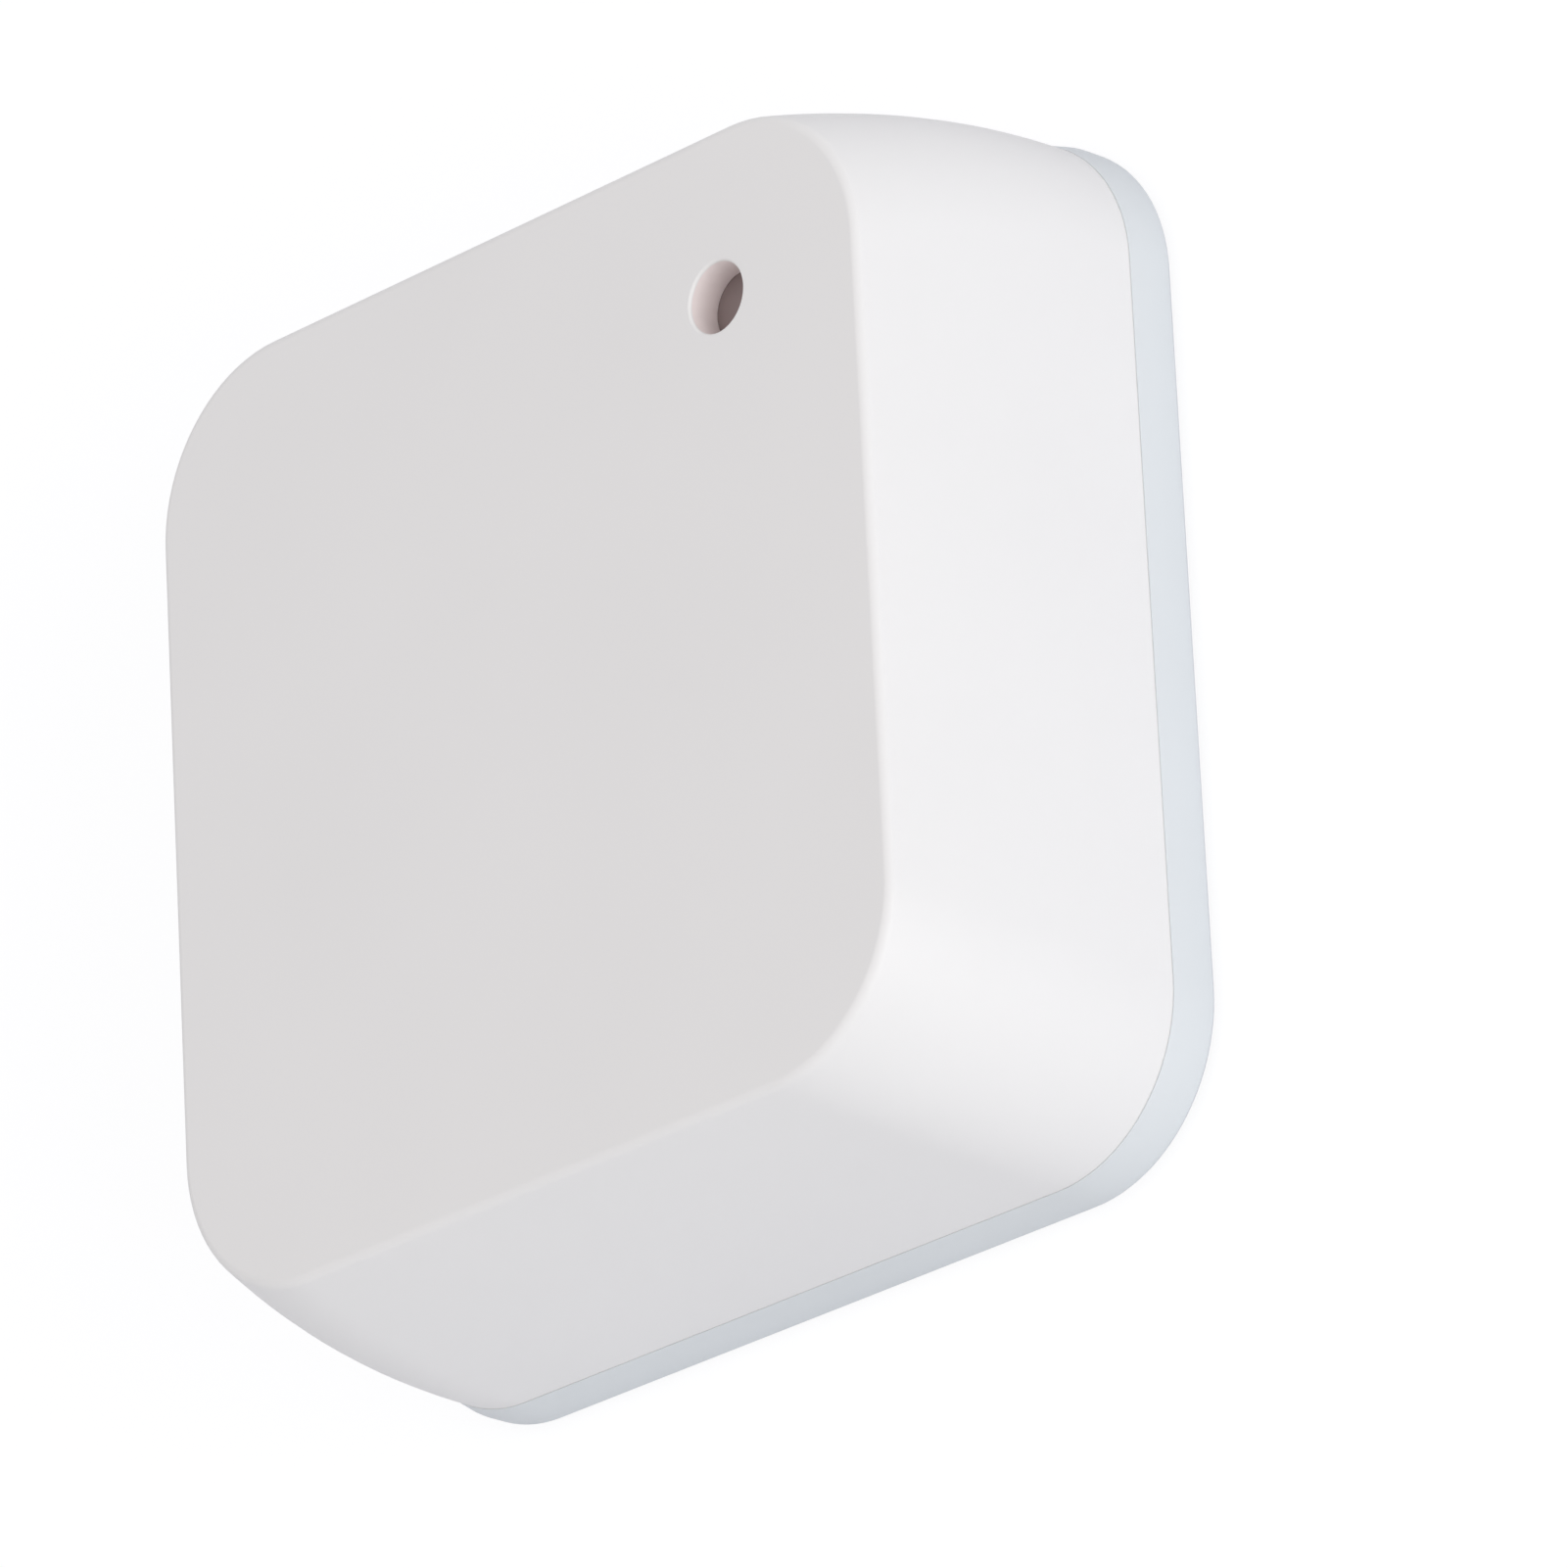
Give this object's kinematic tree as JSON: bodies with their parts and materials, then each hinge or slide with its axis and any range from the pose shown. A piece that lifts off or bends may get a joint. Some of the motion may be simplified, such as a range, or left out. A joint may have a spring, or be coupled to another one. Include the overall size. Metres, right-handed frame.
{
  "type": "mmwave presence sensor",
  "caption": "Square wall or ceiling presence sensor: domed-side white shell with a small light hole, stepped rear cover, radar board, power inlet and reset button.",
  "frame": {"origin": "middle of the adhesive pad's sticky face, which the device lies on", "axes": "+Z out of the front face, +X right and +Y up as the device hangs in the picture"},
  "size_m": [0.06, 0.06, 0.0215],
  "materials": {
    "shell_plastic": "fine satin moulding",
    "cover_plastic": "fine satin moulding, cooler white",
    "pad_foam": "closed-cell foam",
    "main_laminate": "green solder mask",
    "radar_laminate": "black solder mask",
    "module_laminate": "dark blue solder mask",
    "screw_steel": "zinc plated",
    "inlet_steel": "nickel plated",
    "can_steel": "tin plated",
    "black_moulding": "glass-filled moulding",
    "chip_moulding": "moulded epoxy",
    "contact_gold": "gold plated",
    "button_plastic": "satin moulding",
    "plunger_plastic": "moulding",
    "guide_smoke": "smoked, polished",
    "sensor_glass": "clear resin over a dark die",
    "status_lens": "diffusing resin",
    "pillar_nylon": "natural nylon",
    "ferrite": "sintered ferrite",
    "can_aluminium": "bare sleeve",
    "chip_ceramic": "fired ceramic with tinned ends"
  },
  "bodies": {
    "base": {"rear_cover": "cover_plastic", "adhesive_pad": "pad_foam", "main_board": "main_laminate", "board_screws": "screw_steel", "inlet_shell": "inlet_steel", "inlet_insulator": "black_moulding", "inlet_contacts": "contact_gold", "switch_body": "black_moulding", "switch_bracket": "screw_steel", "light_sensor": "sensor_glass", "status_light": "status_lens", "radar_board": "radar_laminate", "radar_patches": "contact_gold", "radar_chip": "chip_moulding", "radar_processor": "chip_moulding", "header_pins": "contact_gold", "header_block": "black_moulding", "radar_pillars": "pillar_nylon", "module_board": "module_laminate", "module_can": "can_steel", "module_chip": "chip_moulding", "module_antenna": "contact_gold", "regulator_body": "chip_moulding", "regulator_leads": "screw_steel", "coil_base": "black_moulding", "coil_body": "ferrite", "bulk_base": "black_moulding", "bulk_capacitor": "can_aluminium", "crystal": "can_steel", "chip_parts": "chip_ceramic"},
    "shell": {"front_shell": "shell_plastic", "light_guide": "guide_smoke"},
    "button": {"reset_button": "button_plastic"},
    "plunger": {"switch_plunger": "plunger_plastic"}
  },
  "joints": [
    {"name": "shell_lift", "type": "slide", "parent": "base", "child": "shell", "axis": [0, 0, 1], "range_m": [0, 0.03]},
    {"name": "button_press", "type": "slide", "parent": "shell", "child": "button", "axis": [1, 0, 0], "range_m": [0, 0.0003], "stiffness_N_per_m": 6000, "springref_m": -0.0001},
    {"name": "plunger_press", "type": "slide", "parent": "base", "child": "plunger", "axis": [1, 0, 0], "range_m": [0, 0.0003]}
  ],
  "couplings": [
    {"joint": "plunger_press", "follows": "button_press", "ratio": 1}
  ]
}
